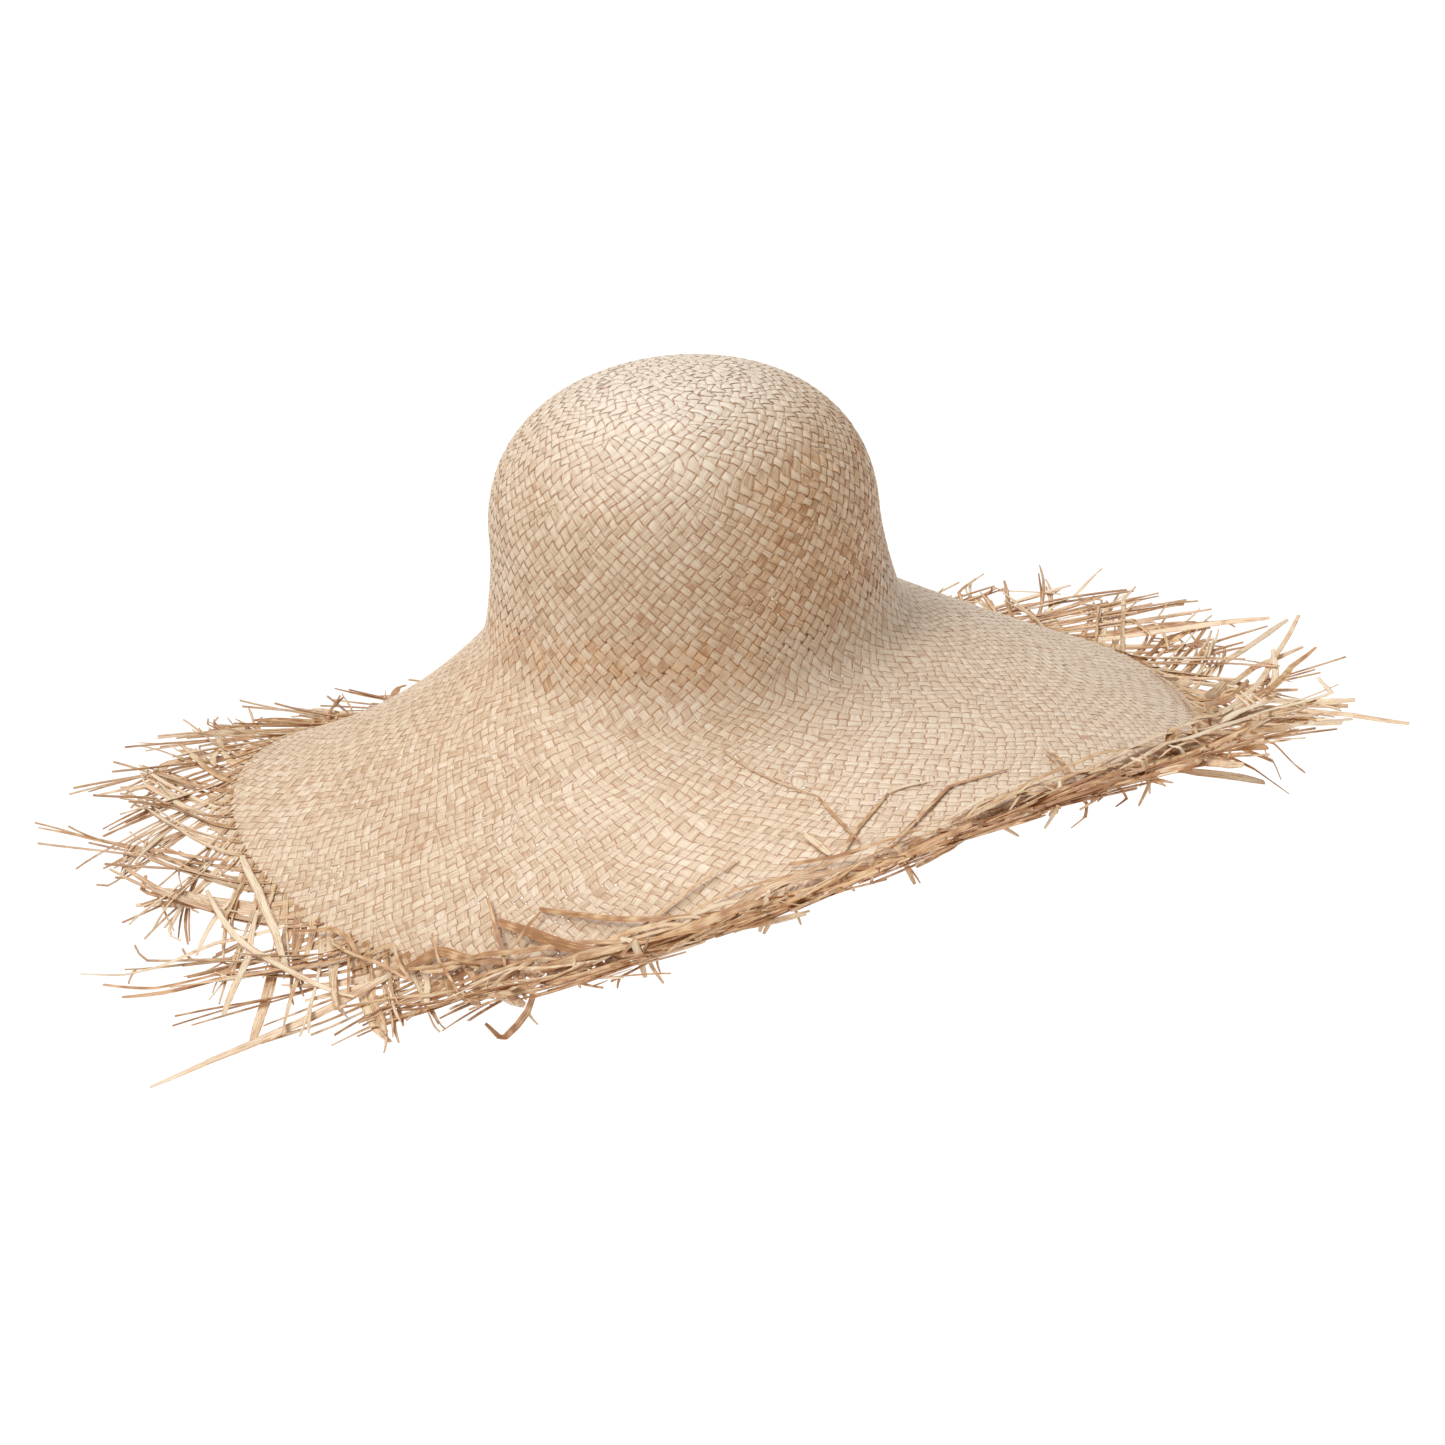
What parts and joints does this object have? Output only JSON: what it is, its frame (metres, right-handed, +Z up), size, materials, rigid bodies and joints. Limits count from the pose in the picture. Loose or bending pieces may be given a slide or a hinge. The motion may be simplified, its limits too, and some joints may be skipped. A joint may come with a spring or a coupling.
{
  "type": "straw sun hat",
  "caption": "Wide-brimmed woven straw sun hat with a domed crown, a drooping wavy brim, a long raw fringe of loose straw and a ribbon sweatband inside.",
  "frame": {"origin": "centre of the head opening, at the height where the crown meets the brim", "axes": "+Z up along the axis of the crown, -Y towards the front of the hat, +X towards the wearer's left"},
  "size_m": [0.6045, 0.5918, 0.2299],
  "materials": {
    "woven_raffia": "natural plaited raffia, matte with a faint dry sheen",
    "loose_raffia": "loose raffia strand ends, matte, straw to light brown",
    "sweatband_ribbon": "ribbed grosgrain ribbon, matte cream",
    "sewing_thread": "spun polyester thread, off-white",
    "label_tape": "blank woven satin tape, off-white"
  },
  "bodies": {
    "root": {"brim": "woven_raffia", "crown": "woven_raffia", "dangling_straw": "loose_raffia", "fringe_left_lean_01": "loose_raffia", "fringe_left_lean_02": "loose_raffia", "fringe_left_lean_03": "loose_raffia", "fringe_left_lean_04": "loose_raffia", "fringe_left_lean_05": "loose_raffia", "fringe_left_lean_06": "loose_raffia", "fringe_left_lean_07": "loose_raffia", "fringe_left_lean_08": "loose_raffia", "fringe_left_lean_09": "loose_raffia", "fringe_left_lean_10": "loose_raffia", "fringe_left_lean_11": "loose_raffia", "fringe_left_lean_12": "loose_raffia", "fringe_right_lean_01": "loose_raffia", "fringe_right_lean_02": "loose_raffia", "fringe_right_lean_03": "loose_raffia", "fringe_right_lean_04": "loose_raffia", "fringe_right_lean_05": "loose_raffia", "fringe_right_lean_06": "loose_raffia", "fringe_right_lean_07": "loose_raffia", "fringe_right_lean_08": "loose_raffia", "fringe_right_lean_09": "loose_raffia", "fringe_right_lean_10": "loose_raffia", "fringe_right_lean_11": "loose_raffia", "fringe_right_lean_12": "loose_raffia", "label_stitches": "sewing_thread", "maker_label": "label_tape", "size_label": "label_tape", "stray_straws_front": "loose_raffia", "sweatband": "sweatband_ribbon", "sweatband_stitches": "sewing_thread"}
  },
  "joints": []
}
